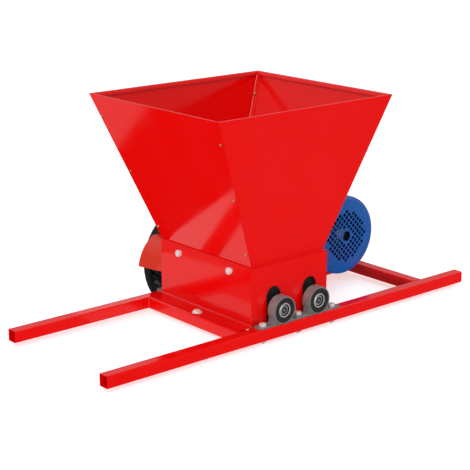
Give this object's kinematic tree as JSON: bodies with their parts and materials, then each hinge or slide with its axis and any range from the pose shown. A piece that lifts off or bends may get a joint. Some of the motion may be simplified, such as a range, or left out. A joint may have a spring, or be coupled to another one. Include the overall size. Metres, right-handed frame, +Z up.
{
  "type": "grape crusher",
  "caption": "Motor-driven twin-roller crusher: tapered sheet hopper over a crushing box on two long tube rails, rollers geared together and driven by a V-belt.",
  "frame": {"origin": "on the centre line of the near rail's underside, straight below the driven roller's shaft", "axes": "+X along the rails towards the motor, +Y from the near rail to the far rail and the belt drive, +Z up out of the hopper's mouth"},
  "size_m": [0.97, 0.4565, 0.5341],
  "materials": {
    "red_powder_coat": "gloss",
    "blue_enamel": "satin",
    "black_cast_iron": "satin",
    "pressed_steel": "satin",
    "bright_steel": "ground",
    "bearing_seal": "matte",
    "belt_rubber": "matte",
    "zinc_plate": "bright",
    "black_nylon": "satin",
    "lamination_steel": "dull",
    "black_plastic": "matte"
  },
  "bodies": {
    "frame": {"box_back_panel": "red_powder_coat", "box_flange_bolt": "zinc_plate", "box_front_panel": "red_powder_coat", "box_left_panel": "red_powder_coat", "box_right_panel": "red_powder_coat", "cable_gland": "black_plastic", "drive_end_shield": "blue_enamel", "fan_cover": "blue_enamel", "fan_end_shield": "blue_enamel", "far_rail": "red_powder_coat", "front_bearing_bolt_1": "zinc_plate", "front_bearing_bolt_2": "zinc_plate", "front_bearing_bolt_3": "zinc_plate", "front_left_bearing_housing": "pressed_steel", "front_left_bearing_outer_ring": "bearing_seal", "front_right_bearing_housing": "pressed_steel", "front_right_bearing_outer_ring": "bearing_seal", "gear_guard": "red_powder_coat", "hopper_back_panel": "red_powder_coat", "hopper_bolt_1": "zinc_plate", "hopper_bolt_2": "zinc_plate", "hopper_front_panel": "red_powder_coat", "hopper_left_panel": "red_powder_coat", "hopper_right_panel": "red_powder_coat", "left_cross_tube": "red_powder_coat", "motor_bolt_front_left": "zinc_plate", "motor_bolt_front_right": "zinc_plate", "motor_bolt_rear_left": "zinc_plate", "motor_bolt_rear_right": "zinc_plate", "motor_frame": "blue_enamel", "motor_plate": "red_powder_coat", "motor_stator": "lamination_steel", "near_rail": "red_powder_coat", "rear_bearing_bolt_1": "zinc_plate", "rear_bearing_bolt_2": "zinc_plate", "rear_bearing_bolt_3": "zinc_plate", "rear_left_bearing_housing": "pressed_steel", "rear_left_bearing_outer_ring": "bearing_seal", "rear_right_bearing_housing": "pressed_steel", "rear_right_bearing_outer_ring": "bearing_seal", "right_cross_tube": "red_powder_coat", "terminal_box": "blue_enamel", "terminal_box_lid": "blue_enamel", "v_belt": "belt_rubber"},
    "right_roller_set": {"right_roller_shaft": "bright_steel", "right_roller": "black_nylon", "right_gear": "black_cast_iron", "driven_pulley": "black_cast_iron", "front_right_bearing_inner_ring": "bright_steel", "rear_right_bearing_inner_ring": "bright_steel"},
    "left_roller_set": {"left_roller_shaft": "bright_steel", "left_roller": "black_nylon", "left_gear": "black_cast_iron", "front_left_bearing_inner_ring": "bright_steel", "rear_left_bearing_inner_ring": "bright_steel"},
    "motor_rotor_set": {"motor_shaft": "bright_steel", "motor_rotor": "lamination_steel", "cooling_fan": "black_plastic", "motor_pulley": "black_cast_iron"}
  },
  "joints": [
    {"name": "right_roller_spin", "type": "hinge", "parent": "frame", "child": "right_roller_set", "pos_m": [0, 0, 0.0534], "axis": [0, 1, 0], "continuous": true},
    {"name": "left_roller_spin", "type": "hinge", "parent": "frame", "child": "left_roller_set", "pos_m": [-0.095, 0, 0.0534], "axis": [0, 1, 0], "continuous": true},
    {"name": "motor_spin", "type": "hinge", "parent": "frame", "child": "motor_rotor_set", "pos_m": [0.2265, 0, 0.115], "axis": [0, 1, 0], "continuous": true}
  ],
  "couplings": [
    {"joint": "left_roller_spin", "follows": "right_roller_spin", "ratio": -1},
    {"joint": "motor_spin", "follows": "right_roller_spin", "ratio": 4.0667}
  ]
}
